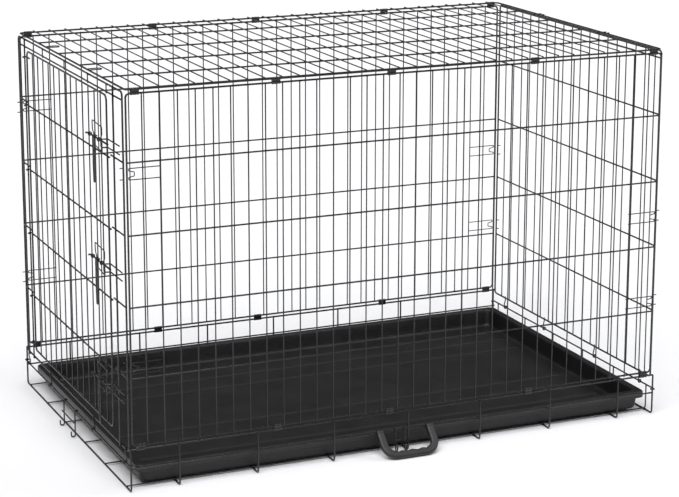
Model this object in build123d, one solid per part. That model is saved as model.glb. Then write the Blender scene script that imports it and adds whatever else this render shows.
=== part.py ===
import math
from build123d import *
import os

# Wire dog crate, one side door, folding flat. Millimetres, +Z up.
# +X runs along the long side, away from the door end; the long front side faces -Y.
# Everything is first laid out about the middle of the frame, then moved so that the
# origin lies on the floor under the middle of the whole outline.

# ---- driving dimensions --------------------------------------------------------------
length = 1219.0          # between the outer faces of the two ends' base wires
depth = 762.0            # between the planes of the front and back base legs
roof_z = 824.0           # middle of the roof frame's wire
base_rail_z = 89.5       # middle of the base's top rail, which the long sides turn about
lower_rail_z = 48.0      # middle of the base's lower rail
end_rail_z = 58.0        # middle of the base's end rails, which the ends turn about

frame_r = 2.0            # radius of the panel frames' wire
base_r = 1.9             # radius of the base's cross wires and legs
rail_r = 1.75            # radius of rails and crossbars
upright_r = 1.35         # radius of the closely spaced wires
clip_wire_r = 1.1        # radius of the springy corner wires
weld_gap = 0.02          # gap left at each weld, so that crossing wires never share volume
eye_gap = 0.35           # running clearance inside every curled eye
eye_bend = 2.5           # bend radius where a wire jogs in to its eye

half_x = length / 2
half_y = depth / 2
rail_y = half_y - 4.0            # plane of the long sides' and roof's side wires
side_x = half_x - 5.5            # end wires of the long sides and the roof
end_x = half_x - 0.5             # plane of the ends' frame wire
end_half_y = 371.0               # half the width of an end's frame
end_low_z = 84.0                 # bottom wire of an end's frame
end_top_z = 819.0                # top wire of an end's frame, just under the roof
side_low_z = base_rail_z + 8.0   # bottom wire of a long side's frame
side_top_z = roof_z - 8.0        # top wire of a long side's frame
side_bays = 33                   # spaces between uprights along a long side
end_bays = 19                    # spaces between uprights across the far end
crossbar_z = [238.0, 385.0, 532.0, 679.0]
roof_crossbar_y = [-228.6, -76.2, 76.2, 228.6]
clip_x = [-585.5, -290.0, -36.0, 296.0, 585.5]

door_hinge_y = 309.0     # upright that the door turns on
door_back_y = 291.0      # the door's own wire beside the hinge
door_latch_y = -282.0    # the door's wire at the latches
door_low_z = 108.0
door_top_z = 797.0
door_bays = 14
door_crossbar_z = [231.0, 378.0, 525.0, 672.0]
latch_z = [196.0, 449.0, 704.0]
latch_names = ["low", "mid", "top"]

parts = {}


# ---- small tools ---------------------------------------------------------------------
def rod(start, end, radius):
    """A straight wire between two points."""
    a = Vector(*start)
    b = Vector(*end)
    plane = Plane(origin=a, z_dir=(b - a).normalized())
    return plane * Cylinder(radius, (b - a).length, align=(Align.CENTER, Align.CENTER, Align.MIN))


def bent(points, radius, bend, closed=False):
    """A wire bent round a line of points, with one bend radius or a list of them."""
    path = FilletPolyline(*points, radius=bend, close=closed)
    section = Plane(origin=path @ 0, z_dir=path % 0) * Circle(radius)
    return sweep(section, path=path)


def ring(centre, axis, mid_radius, wire_radius):
    """A closed wire eye about an axis."""
    return Plane(origin=centre, z_dir=axis) * Torus(mid_radius, wire_radius)


def eyed_wire(centre, out, along, reach, lead, radius, turn=250.0):
    """A wire that comes in beside an axis and curls round it.

    out points from the axis to the wire, and along points back up the wire. lead holds the
    wire's earlier points, each as a distance out and a distance along.
    """
    plane = Plane(origin=centre, x_dir=out, z_dir=Vector(*out).cross(Vector(*along)))
    if len(lead) > 1:
        straight = FilletPolyline(*lead, (reach, 0), radius=eye_bend)
    else:
        straight = Line(lead[0], (reach, 0))
    path = plane * (straight + CenterArc((0, 0), reach, 0, -turn))
    start = plane.from_local_coords(Vector(*lead[0], 0))
    section = Plane(origin=start, z_dir=Vector(*along) * -1) * Circle(radius)
    return sweep(section, path=path)


def band(centre, axis, inner, outer, width):
    """A crimped sleeve about an axis."""
    body = Cylinder(outer, width) - Cylinder(inner, width * 2)
    return Plane(origin=centre, z_dir=axis) * body


def keep(name, shapes):
    """Stores one sub-part, as a group where it has several solids."""
    solids = [s for shape in shapes for s in shape.solids()]
    parts[name] = Compound(solids)


def loop_in(plane, half_w, low, high, radius, bend):
    """A rounded rectangular frame of wire, in a plane whose local y is the height."""
    corners = [(0, low), (half_w, low), (half_w, high), (-half_w, high), (-half_w, low)]
    points = [plane.from_local_coords(Vector(u, v, 0)) for u, v in corners]
    path = FilletPolyline(*points[1:], radius=bend, close=True)
    start = path @ 0.1
    section = Plane(origin=start, z_dir=path % 0.1) * Circle(radius)
    return sweep(section, path=path)


# ---- base ----------------------------------------------------------------------------
floor_wire_r = 1.5
leg_pitch = 171.0
leg_x = [7.0 + leg_pitch * k for k in range(-3, 4)]
cross_z = base_r                                      # cross wires lie on the ground
long_z = 2 * base_r + floor_wire_r + weld_gap         # long floor wires lie on them
rail_in_y = half_y - base_r - rail_r - weld_gap       # rails are welded inside the legs
floor_wire_y = [141.5 * (k - 2.5) for k in range(6)]
end_rail_x = half_x + base_r + rail_r + weld_gap      # end rails lie outside the end legs


def leg_wire(x, top):
    """One cross wire with both legs turned up."""
    points = [(x, -half_y, top), (x, -half_y, cross_z), (x, half_y, cross_z), (x, half_y, top)]
    return bent(points, base_r, 7.0)


def end_rail(side):
    """An end rail whose tips curl round the corner legs."""
    reach = end_rail_x - half_x
    curl = 220.0
    start_angle = 180.0 if side < 0 else 0.0
    near = CenterArc((side * half_x, -half_y), reach, start_angle, -side * curl)
    far = CenterArc((side * half_x, half_y), reach, start_angle, side * curl)
    halves = []
    for sy, tip in ((-1, near), (1, far)):
        run = Line((side * end_rail_x, 0), (side * end_rail_x, sy * half_y))
        half_path = Pos(0, 0, end_rail_z) * (run + tip)
        section = Plane(origin=(side * end_rail_x, 0, end_rail_z), z_dir=(0, sy, 0)) * Circle(rail_r)
        halves.append(sweep(section, path=half_path))
    return halves[0].fuse(halves[1]).clean()


def floor_wire(y):
    """A long floor wire, turned up against the far end rail."""
    x = end_rail_x - rail_r - floor_wire_r - weld_gap
    points = [(-half_x - base_r, y, long_z), (x, y, long_z), (x, y, end_rail_z + 3.0)]
    return bent(points, floor_wire_r, 6.0)


def build_base():
    top = base_rail_z + 0.5      # short enough for the folding sides to pass
    keep("base_cross_wires", [leg_wire(x, top) for x in leg_x])
    keep("base_end_wire_door", [leg_wire(-half_x, top)])
    keep("base_end_wire_far", [leg_wire(half_x, top)])
    y_top = half_y - base_r - frame_r - weld_gap
    far = half_x + base_r
    keep("base_top_rails", [rod((-far, s * y_top, base_rail_z), (far, s * y_top, base_rail_z), frame_r)
                            for s in (-1, 1)])
    keep("base_lower_rails", [rod((-far, s * rail_in_y, lower_rail_z), (far, s * rail_in_y, lower_rail_z),
                                  rail_r) for s in (-1, 1)])
    keep("base_end_rail_door", [end_rail(-1)])
    keep("base_end_rail_far", [end_rail(1)])
    keep("base_floor_wires", [floor_wire(y) for y in floor_wire_y])


# ---- long sides ----------------------------------------------------------------------
side_upright_out = frame_r + upright_r + weld_gap     # uprights lie outside the frame
side_bar_out = side_upright_out - upright_r - rail_r - weld_gap
clip_inner = frame_r + 0.3
clip_outer = frame_r + 1.3
clip_width = 18.0
corner_clip_z = {-1: [(260.0, 23.0), (656.5, 23.0)], 1: [(262.0, 22.0), (454.0, 22.0)]}


def side_uprights(y, out):
    pitch = length / side_bays
    xs = [-half_x + pitch * k for k in range(1, side_bays)]
    low = side_low_z - frame_r
    high = side_top_z + frame_r
    return [rod((x, y + out * side_upright_out, low), (x, y + out * side_upright_out, high), upright_r)
            for x in xs]


def side_crossbars(y, out):
    reach = side_x - frame_r - weld_gap
    yy = y + out * side_bar_out
    return [rod((-reach, yy, z), (reach, yy, z), rail_r) for z in crossbar_z]


def corner_clip(y, out, end, z, gap):
    """Two thin wires from the second upright to the corner, joined by a D-shaped hook."""
    yy = y + out * (side_upright_out - upright_r - clip_wire_r - weld_gap)
    x_in = end * (half_x - 2 * length / side_bays - upright_r)
    x_turn = end * (side_x - frame_r - clip_wire_r - 0.4)
    x_hook = end * (side_x - frame_r - 13.0)
    lower = z - gap / 2
    upper = z + gap / 2
    points = [(x_in, yy, lower), (x_turn, yy, lower), (x_turn, yy, z - 6.5), (x_hook, yy, z - 4.0),
              (x_hook, yy, z + 4.0), (x_turn, yy, z + 6.5), (x_turn, yy, upper), (x_in, yy, upper)]
    return bent(points, clip_wire_r, 1.8)


def hinge_clips(y, held_z, turning_z):
    """Crimped clips, tight on the rail that holds them and loose on the rail that turns in them."""
    clips = []
    for x in clip_x:
        loose = band((x, y, turning_z), (1, 0, 0), clip_inner, clip_outer, clip_width)
        tight = band((x, y, held_z), (1, 0, 0), frame_r + weld_gap, clip_outer, clip_width)
        web = Pos(x, y, (held_z + turning_z) / 2) * Box(clip_width, 1.6, 8.0 - 2 * clip_inner - 0.8)
        clips.append(loose.fuse(tight, web))
    return clips


def build_side(name, y, out):
    """A long side: out is the direction, along Y, that its uprights face."""
    wall = Plane(origin=(0, y, 0), x_dir=(1, 0, 0), z_dir=(0, -1, 0))
    keep(name + "_frame", [loop_in(wall, side_x, side_low_z, side_top_z, frame_r, 8.0)])
    keep(name + "_uprights", side_uprights(y, out))
    keep(name + "_crossbars", side_crossbars(y, out))
    wires = [corner_clip(y, out, end, z, gap) for end in (-1, 1) for z, gap in corner_clip_z[end]]
    keep(name + "_corner_clips", wires)
    keep(name + "_base_clips", hinge_clips(y, side_low_z, base_rail_z))


# ---- roof ----------------------------------------------------------------------------
def build_roof():
    flat = Plane(origin=(0, 0, roof_z), x_dir=(1, 0, 0), z_dir=(0, 0, 1))
    keep("roof_frame", [loop_in(flat, side_x, -rail_y, rail_y, frame_r, 8.0)])
    pitch = length / side_bays
    over_z = roof_z + side_upright_out
    xs = [-half_x + pitch * k for k in range(1, side_bays)]
    reach_y = rail_y + frame_r
    keep("roof_cross_wires", [rod((x, -reach_y, over_z), (x, reach_y, over_z), upright_r) for x in xs])
    bar_z = roof_z + side_bar_out
    reach_x = side_x - frame_r - weld_gap
    keep("roof_long_wires", [rod((-reach_x, y, bar_z), (reach_x, y, bar_z), rail_r)
                             for y in roof_crossbar_y])
    keep("roof_hooks", [roof_hook(end, y) for end in (-1, 1) for y in (-150.0, 150.0)])
    keep("roof_front_clips", hinge_clips(-rail_y, roof_z, side_top_z))
    keep("roof_back_clips", hinge_clips(rail_y, roof_z, side_top_z))


def roof_hook(end, y):
    """A loop of thin wire lying on the roof, welded to its end wire."""
    z = roof_z + frame_r + 1.2 + weld_gap
    start = end * (side_x + frame_r)
    inner = end * (side_x - 24.0)
    points = [(start, y - 7.0, z), (inner, y - 9.0, z), (inner, y + 9.0, z), (start, y + 7.0, z)]
    return bent(points, 1.2, 7.0)


# ---- end panels ----------------------------------------------------------------------
end_upright_out = frame_r + upright_r + weld_gap
end_bar_out = end_upright_out - upright_r - rail_r - weld_gap
door_edge_r = 1.75
edge_out = end_bar_out + rail_r + door_edge_r + weld_gap


def end_frame(side):
    wall = Plane(origin=(side * end_x, 0, 0), x_dir=(0, 1, 0), z_dir=(1, 0, 0))
    return loop_in(wall, end_half_y, end_low_z, end_top_z, frame_r, 8.0)


def end_hinge_eye(side, y):
    """A short upright welded to the end's bottom wire, curled round the base's end rail."""
    reach = rail_r + eye_gap + upright_r
    centre = (side * end_rail_x, y, end_rail_z)
    upper = end_rail_x - end_x - end_upright_out
    lead = [(upper, end_low_z + 21.0 - end_rail_z), (upper, 18.0), (reach, 8.0)]
    return eyed_wire(centre, (-side, 0, 0), (0, 0, 1), reach, lead, upright_r, 300.0)


def catch_prongs(side, levels):
    """Short wire tips standing out from the corner uprights, level with the corner clips."""
    tips = []
    for sy in (-1, 1):
        for z, gap in levels:
            for dz in (-gap / 2, gap / 2):
                start = (side * (end_x + frame_r + weld_gap), sy * end_half_y, z + dz)
                end = (side * (end_x + frame_r + 6.0), sy * end_half_y, z + dz)
                tips.append(rod(start, end, clip_wire_r))
    return tips


def build_far_end():
    keep("far_end_frame", [end_frame(1)])
    x_up = end_x + end_upright_out
    pitch = 2 * half_y / end_bays
    ys = [-half_y + pitch * k for k in range(1, end_bays)]
    low = end_low_z - frame_r
    high = end_top_z + frame_r
    keep("far_end_uprights", [rod((x_up, y, low), (x_up, y, high), upright_r) for y in ys])
    x_bar = end_x + end_bar_out
    reach = end_half_y - frame_r - weld_gap
    levels = crossbar_z + [803.0]
    keep("far_end_crossbars", [rod((x_bar, -reach, z), (x_bar, reach, z), rail_r) for z in levels])
    keep("far_end_hinge_eyes", [end_hinge_eye(1, y) for y in (-321.0, -120.3, 120.3, 321.0)])
    keep("far_end_catches", catch_prongs(1, corner_clip_z[1]))


def build_door_end():
    keep("door_end_frame", [end_frame(-1)])
    x_edge = -(end_x + edge_out)
    low = end_low_z - frame_r
    high = end_top_z + frame_r
    opening = [-324.0, door_hinge_y]
    keep("door_end_edge_uprights", [rod((x_edge, y, low), (x_edge, y, high), door_edge_r)
                                    for y in opening])
    x_up = -(end_x + end_upright_out)
    stubs = [rod((x_up, y, 803.0 - rail_r), (x_up, y, high), upright_r)
             for y in (-282.0, -159.0, 5.0, 167.0)]
    keep("door_end_uprights", [rod((x_up, 345.0, low), (x_up, 345.0, high), upright_r)] + stubs)
    x_bar = -(end_x + end_bar_out)
    reach = end_half_y - frame_r - weld_gap
    bars = [rod((x_bar, -reach, z), (x_bar, -293.0, z), rail_r) for z in crossbar_z]
    bars += [rod((x_bar, 304.0, z), (x_bar, reach, z), rail_r) for z in crossbar_z]
    bars.append(rod((x_bar, -reach, 803.0), (x_bar, reach, 803.0), rail_r))
    keep("door_end_crossbars", bars)
    keep("door_end_hinge_eyes", [end_hinge_eye(-1, y) for y in (-355.0, -140.0, 180.0, 355.0)])
    keep("door_end_catches", catch_prongs(-1, corner_clip_z[-1]))
    keep("door_end_keepers", [keeper(z) for z in latch_z])


keeper_r = 1.5
keeper_x = -(end_x + edge_out + door_edge_r + keeper_r + weld_gap)


def keeper(z):
    """A U of wire on the end panel, its closed end turned outwards as an eye for the bolt."""
    x = keeper_x
    out = x - 13.0
    y0 = -end_half_y
    y1 = -296.0
    points = [(x, y0, z + 8.5), (x, y1, z + 8.5), (out, y1 + 3.0, z + 8.5),
              (out, y1 + 3.0, z - 8.5), (x, y1, z - 8.5), (x, y0, z - 8.5)]
    return bent(points, keeper_r, 3.5)


# ---- door ----------------------------------------------------------------------------
hinge_axis_x = -(end_x + edge_out)
loop_reach = door_edge_r + eye_gap + rail_r
door_bar_x = hinge_axis_x + loop_reach
door_frame_x = door_bar_x - rail_r - frame_r - weld_gap
door_upright_x = door_bar_x - rail_r - upright_r - weld_gap


def door_bar(z):
    """A crossbar whose end curls round the hinge upright."""
    lead = [(loop_reach, door_hinge_y - door_latch_y + frame_r)]
    return eyed_wire((hinge_axis_x, door_hinge_y, z), (1, 0, 0), (0, -1, 0), loop_reach, lead, rail_r)


def hinge_hook(z):
    """A short wire from the door's back upright, curled round the hinge upright."""
    lead = [(loop_reach, door_hinge_y - door_back_y + 6.0)]
    return eyed_wire((hinge_axis_x, door_hinge_y, z), (1, 0, 0), (0, -1, 0), loop_reach, lead, rail_r)


def build_door():
    mid_y = (door_back_y + door_latch_y) / 2
    half_w = (door_back_y - door_latch_y) / 2
    wall = Plane(origin=(door_frame_x, mid_y, 0), x_dir=(0, 1, 0), z_dir=(1, 0, 0))
    keep("door_frame", [loop_in(wall, half_w, door_low_z, door_top_z, frame_r, 12.0)])
    pitch = 2 * half_w / door_bays
    ys = [door_latch_y + pitch * k for k in range(1, door_bays)]
    low = door_low_z + frame_r + weld_gap
    high = door_top_z - frame_r - weld_gap
    keep("door_uprights", [rod((door_upright_x, y, low), (door_upright_x, y, high), upright_r)
                           for y in ys])
    keep("door_crossbars", [door_bar(z) for z in door_crossbar_z])
    keep("door_hinge_hooks", [hinge_hook(z) for z in (door_low_z + 14.0, door_top_z - 16.0)])


# ---- slide-bolt latches --------------------------------------------------------------
guide_r = 1.2
bolt_r = 2.0
guide_x = door_upright_x - upright_r - guide_r - weld_gap
eye_reach = bolt_r + eye_gap + guide_r
bolt_x = guide_x - guide_r - weld_gap - eye_reach - guide_r
guide_eye_y = [-253.0, -193.0]
bolt_tip_y = -311.0
bolt_tail_y = -183.0
bolt_curl_r = 3.4        # bend radius of the bolt's turned-out tail
paddle_y = -229.0
paddle_r = 1.5
paddle_open = 50.0       # where a paddle's hook starts round the bolt, in degrees, clear of the guide


def latch_guide(z):
    """An hourglass of wire on the door, narrow where the bolt's eyes sit."""
    y0, y1 = guide_eye_y
    x = guide_x
    points = [(x, y0 - 1.0, z + 24.0), (x, y1 + 3.0, z + 28.0), (x, y1 + 1.0, z + 9.0),
              (x, y1 - 8.0, z), (x, y1 + 1.0, z - 9.0), (x, y1 + 3.0, z - 19.0),
              (x, y0 - 1.0, z - 27.0), (x, y0 - 1.0, z - 9.0), (x, y0 + 8.0, z), (x, y0 - 1.0, z + 9.0)]
    path = FilletPolyline(*points, radius=3.0, close=True)
    section = Plane(origin=path @ 0.03, z_dir=path % 0.03) * Circle(guide_r)
    return sweep(section, path=path)


def latch_bolt(z):
    """The sliding bolt: a rod with a rounded tip and a curled tail."""
    centre = (bolt_x - bolt_curl_r, bolt_tail_y, z)
    lead = [(bolt_curl_r, bolt_tail_y - bolt_tip_y)]
    return eyed_wire(centre, (1, 0, 0), (0, -1, 0), bolt_curl_r, lead, bolt_r, 120.0)


def latch_paddle(z):
    """A hairpin of wire whose two hooked ends hang on the bolt."""
    reach = bolt_r + 0.3 + paddle_r
    x = bolt_x - reach
    bottom = z - 92.0
    half = 5.0
    grip = FilletPolyline((x, paddle_y - half, z), (x, paddle_y - half, z - 60.0),
                          (x, paddle_y - 2.6, bottom), (x, paddle_y + 2.6, bottom),
                          (x, paddle_y + half, z - 60.0), (x, paddle_y + half, z),
                          radius=[20.0, 2.4, 2.4, 20.0])
    angles = [math.radians(a) for a in (paddle_open, (paddle_open + 180.0) / 2, 180.0)]
    curl = [(bolt_x + reach * math.cos(a), z + reach * math.sin(a)) for a in angles]
    hooks = []
    for s in (-1, 1):
        y = paddle_y + s * half
        hooks.append(ThreePointArc(*[Vector(px, y, pz) for px, pz in curl]))
    path = hooks[0] + grip + hooks[1]
    start = Vector(curl[0][0], paddle_y - half, curl[0][1])
    way = Vector(-math.sin(angles[0]), 0, math.cos(angles[0]))
    return sweep(Plane(origin=start, z_dir=way) * Circle(paddle_r), path=path)


def build_latches():
    keep("latch_guides", [latch_guide(z) for z in latch_z])
    eyes = [ring((bolt_x, y, z), (0, 1, 0), eye_reach, guide_r) for z in latch_z for y in guide_eye_y]
    keep("latch_guide_eyes", eyes)
    for name, z in zip(latch_names, latch_z):
        keep("latch_bolt_" + name, [latch_bolt(z)])
        keep("latch_paddle_" + name, [latch_paddle(z)])


# ---- pan -----------------------------------------------------------------------------
pan_bottom_z = long_z + floor_wire_r + 0.1
pan_rim_z = 50.0
pan_wall = 2.2
pan_x = (-584.0, 592.0)
pan_half_y = 357.0
rim_out = 9.0
rim_drop = 15.0


def rounded_block(x0, x1, half, z0, z1, radius):
    """An upright-cornered block with rounded corners."""
    outline = RectangleRounded(x1 - x0, 2 * half, radius)
    return Pos((x0 + x1) / 2, 0, z0) * extrude(outline, z1 - z0)


def build_pan():
    x0, x1 = pan_x
    half = pan_half_y
    z0 = pan_bottom_z
    outer = rounded_block(x0, x1, half, z0, pan_rim_z, 28.0)
    flange = rounded_block(x0 - rim_out, x1 + rim_out, half + rim_out, pan_rim_z - rim_drop, pan_rim_z, 34.0)
    skirt_gap = rounded_block(x0 - rim_out + pan_wall, x1 + rim_out - pan_wall, half + rim_out - pan_wall,
                              pan_rim_z - rim_drop - 1.0, pan_rim_z - pan_wall, 32.0)
    shell = outer + (flange - skirt_gap)
    well = rounded_block(x0 + 9.0, x1 - 9.0, half - 9.0, z0 + pan_wall, pan_rim_z + 1.0, 20.0)
    shell -= well
    pan = shell + rounded_block(x0 + 2.0, x1 - 2.0, half - 2.0, z0, z0 + pan_wall, 26.0)
    hollow = rounded_block(x0 + pan_wall, x1 - pan_wall, half - pan_wall, z0 + pan_wall,
                           pan_rim_z - pan_wall, 26.0)
    inner_wall = rounded_block(x0 + 9.0 - pan_wall, x1 - 9.0 + pan_wall, half - 9.0 + pan_wall,
                               z0 + pan_wall, pan_rim_z - pan_wall, 22.0)
    pan -= hollow - inner_wall
    keep("pan", [pan])


# ---- pan stop ------------------------------------------------------------------------
stop_r = 1.5
stop_y = [-19.0, 63.0]


def stop_hook(y):
    """One wire of the pan stop: an eye over the end rail, a leg, and a turned-up hook."""
    reach = rail_r + eye_gap + stop_r
    x = -end_rail_x - reach
    over = ThreePointArc((x + 2 * reach, y, end_rail_z), (x + reach, y, end_rail_z + reach),
                         (x, y, end_rail_z))
    leg = FilletPolyline((x, y, end_rail_z), (x, y, 2.4), (x - 9.0, y, 2.4), (x - 9.0, y, 14.0), radius=4.0)
    section = Plane(origin=(x + 2 * reach, y, end_rail_z), z_dir=(0, 0, 1)) * Circle(stop_r)
    return sweep(section, path=over + leg)


def build_pan_stop():
    reach = rail_r + eye_gap + stop_r
    x = -end_rail_x - reach - 2 * stop_r - weld_gap
    link = rod((x, stop_y[0] - 4.0, 34.0), (x, stop_y[1] + 4.0, 34.0), stop_r)
    keep("pan_stop_hooks", [stop_hook(y) for y in stop_y])
    keep("pan_stop_link", [link])


# ---- carry handle --------------------------------------------------------------------
handle_tilt = 47.0       # from hanging straight down, so that the grip rests on the ground
handle_half = 58.0       # from the middle to each clip
handle_reach = 57.0      # from the rail to the middle of the grip
grip_w = 17.0
grip_t = 12.0


def build_handle():
    """A moulded D-handle. It is drawn hanging down, then swung out to where it rests."""
    hub_r = 6.5
    bore_r = rail_r + 0.3
    spine = FilletPolyline((-handle_half, 0, -4.0), (-handle_half, 0, -handle_reach),
                           (handle_half, 0, -handle_reach), (handle_half, 0, -4.0), radius=26.0)
    section = Plane(origin=spine @ 0, x_dir=(0, 1, 0), z_dir=spine % 0) * RectangleRounded(grip_t, grip_w, 4.5)
    loop = sweep(section, path=spine)
    hubs = [Plane(origin=(s * handle_half, 0, 0), z_dir=(1, 0, 0)) * Cylinder(hub_r, 16.0) for s in (-1, 1)]
    body = loop.fuse(*hubs)
    fingers = [Pos(24.0 * k, 0, -handle_reach + grip_w / 2 + 9.5) * (Rotation(90, 0, 0) * Cylinder(12.0, 30.0))
               for k in (-1.5, -0.5, 0.5, 1.5)]
    for scoop in fingers:
        body -= scoop
    bore = Rotation(0, 90, 0) * Cylinder(bore_r, 2 * handle_half + 60.0)
    body -= bore
    for s in (-1, 1):
        body -= Pos(s * handle_half, 6.0, 9.0) * Box(30.0, 5.0, 16.0)
    body = body.rotate(Axis.X, -handle_tilt)
    body = Pos(0, -rail_in_y, lower_rail_z) * body
    keep("carry_handle", [body])


# ---- fold lock -----------------------------------------------------------------------
lock_x = [-22.0, -1.0]


def lock_hook(x):
    """One wire of the fold lock: an eye round the lower rail, a leg and a turned-out hook."""
    reach = rail_r + eye_gap + stop_r
    y = -rail_in_y - reach
    over = ThreePointArc((x, y + 2 * reach, lower_rail_z), (x, y + reach, lower_rail_z + reach),
                         (x, y, lower_rail_z))
    leg = FilletPolyline((x, y, lower_rail_z), (x, y, 4.0), (x, y - 9.0, 4.0), (x, y - 9.0, 16.0), radius=4.0)
    section = Plane(origin=(x, y + 2 * reach, lower_rail_z), z_dir=(0, 0, 1)) * Circle(stop_r)
    return sweep(section, path=over + leg)


def build_fold_lock():
    reach = rail_r + eye_gap + stop_r
    y = -rail_in_y - reach - 2 * stop_r - weld_gap
    keep("fold_lock_hooks", [lock_hook(x) for x in lock_x])
    keep("fold_lock_link", [rod((lock_x[0] - 3.0, y, 30.0), (lock_x[1] + 3.0, y, 30.0), stop_r)])


# ---- whole crate ---------------------------------------------------------------------
build_base()
build_side("front_side", -rail_y, -1)
build_side("back_side", rail_y, 1)
build_roof()
build_far_end()
build_door_end()
build_door()
build_latches()
build_pan()
build_pan_stop()
build_handle()
build_fold_lock()

boxes = [shape.bounding_box() for shape in parts.values()]
shift = Vector(-(min(b.min.X for b in boxes) + max(b.max.X for b in boxes)) / 2,
               -(min(b.min.Y for b in boxes) + max(b.max.Y for b in boxes)) / 2,
               -min(b.min.Z for b in boxes))

os.makedirs("parts", exist_ok=True)
for part_name, shape in parts.items():
    export_step(shape.moved(Location(shift)), "parts/" + part_name + ".step")
print("nodes", len(parts), "shift", shift)
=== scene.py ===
"""Finished look of a folding wire dog crate: coated wires, pressed clips, moulded pan and handle."""

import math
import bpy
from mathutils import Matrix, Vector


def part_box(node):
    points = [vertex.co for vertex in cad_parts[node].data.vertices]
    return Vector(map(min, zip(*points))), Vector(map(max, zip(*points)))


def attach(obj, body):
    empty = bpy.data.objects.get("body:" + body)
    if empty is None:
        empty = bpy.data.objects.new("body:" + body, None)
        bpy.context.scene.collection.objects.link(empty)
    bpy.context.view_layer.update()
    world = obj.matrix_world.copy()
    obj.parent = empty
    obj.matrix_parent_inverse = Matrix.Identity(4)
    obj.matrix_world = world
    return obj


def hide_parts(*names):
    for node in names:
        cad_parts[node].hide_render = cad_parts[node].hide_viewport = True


bl_info = {
    "name": "Wire dog crate",
    "version": (1, 0, 0),
    "blender": (4, 5, 0),
    "location": "3D View > Sidebar > Crate",
    "description": "Builds the coated wires, pressed clips, moulded pan and handle of a folding dog crate",
    "category": "Object",
}

import bmesh
import bpy
import numpy as np
from mathutils import Matrix, Vector

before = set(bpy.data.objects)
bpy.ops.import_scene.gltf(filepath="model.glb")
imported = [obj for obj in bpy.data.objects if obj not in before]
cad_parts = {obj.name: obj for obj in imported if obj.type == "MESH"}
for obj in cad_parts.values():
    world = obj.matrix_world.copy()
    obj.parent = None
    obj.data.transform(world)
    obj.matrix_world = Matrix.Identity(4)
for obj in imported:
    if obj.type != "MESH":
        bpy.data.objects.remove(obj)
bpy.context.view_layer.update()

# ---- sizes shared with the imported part, in millimetres about the middle of the frame ----------
DOOR_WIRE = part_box("base_end_wire_door")
FAR_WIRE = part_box("base_end_wire_far")
ORIGIN = np.array([500 * (DOOR_WIRE[0].x + FAR_WIRE[1].x), 500 * (DOOR_WIRE[0].y + DOOR_WIRE[1].y), 0.0])

HALF_X = 609.5
HALF_Y = 381.0
ROOF_Z = 824.0
BASE_RAIL_Z = 89.5
LOWER_RAIL_Z = 48.0
END_RAIL_Z = 58.0
RAIL_Y = HALF_Y - 4.0
SIDE_X = HALF_X - 5.5
END_X = HALF_X - 0.5
END_HALF_Y = 371.0
END_LOW_Z = 84.0
END_TOP_Z = 819.0
END_TOP_BAR_Z = 803.0    # a fifth crossbar close under each end's top
SIDE_LOW_Z = BASE_RAIL_Z + 8.0
SIDE_TOP_Z = ROOF_Z - 8.0
SIDE_BAYS = 33
END_BAYS = 19
CROSSBAR_Z = [238.0, 385.0, 532.0, 679.0]
ROOF_BAR_Y = [-228.6, -76.2, 76.2, 228.6]
FRAME_BEND = 8.0         # every panel's corners but the door's
DOOR_BEND = 12.0
CLIP_X = [-585.5, -290.0, -36.0, 296.0, 585.5]
CORNER_CLIPS = {-1: [(260.0, 23.0), (656.5, 23.0)], 1: [(262.0, 22.0), (454.0, 22.0)]}
DOOR_HINGE_Y = 309.0
DOOR_BACK_Y = 291.0
DOOR_LATCH_Y = -282.0
LATCH_EDGE_Y = -324.0    # the door end's upright beside the latches
BACK_UPRIGHT_Y = 345.0
OPENING_Y = (-293.0, 304.0)    # between the door end's short crossbars
STUB_Y = [-282.0, -159.0, 5.0, 167.0]
DOOR_EYE_Y = [-355.0, -140.0, 180.0, 355.0]
FAR_EYE_Y = [-321.0, -120.3, 120.3, 321.0]
DOOR_LOW_Z = 108.0
DOOR_TOP_Z = 797.0
DOOR_BAYS = 14
DOOR_BAR_Z = [231.0, 378.0, 525.0, 672.0]
LATCHES = {"low": 196.0, "mid": 449.0, "top": 704.0}

FRAME_R = 2.0
BASE_R = 1.9
RAIL_R = 1.75
UPRIGHT_R = 1.35
SPRING_R = 1.1
FLOOR_R = 1.5
STOP_R = 1.5
GAP = 0.02               # wires touch at their welds
EYE_GAP = 0.35           # running clearance inside a curled eye

LEG_X = [7.0 + 171.0 * k for k in range(-3, 4)]
FLOOR_Y = [141.5 * (k - 2.5) for k in range(6)]
LONG_Z = 2 * BASE_R + FLOOR_R + GAP
TOP_RAIL_Y = HALF_Y - BASE_R - FRAME_R - GAP
LOWER_RAIL_Y = HALF_Y - BASE_R - RAIL_R - GAP
END_RAIL_X = HALF_X + BASE_R + RAIL_R + GAP
UPRIGHT_OUT = FRAME_R + UPRIGHT_R + GAP
BAR_OUT = UPRIGHT_OUT - UPRIGHT_R - RAIL_R - GAP
EDGE_OUT = BAR_OUT + 2 * RAIL_R + GAP
HINGE_X = -(END_X + EDGE_OUT)
LOOP_REACH = 2 * RAIL_R + EYE_GAP
DOOR_BAR_X = HINGE_X + LOOP_REACH
DOOR_FRAME_X = DOOR_BAR_X - RAIL_R - FRAME_R - GAP
DOOR_UPRIGHT_X = DOOR_BAR_X - RAIL_R - UPRIGHT_R - GAP
GUIDE_R = 1.2
BOLT_R = 2.0
GUIDE_X = DOOR_UPRIGHT_X - UPRIGHT_R - GUIDE_R - GAP
GUIDE_EYE_REACH = BOLT_R + EYE_GAP + GUIDE_R
BOLT_X = GUIDE_X - 2 * GUIDE_R - GAP - GUIDE_EYE_REACH
GUIDE_EYE_Y = [-253.0, -193.0]
BOLT_TIP_Y = -311.0
BOLT_TAIL_Y = -183.0
PADDLE_Y = -229.0
PADDLE_LENGTH = 92.0
PADDLE_HALF = 5.0
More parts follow.
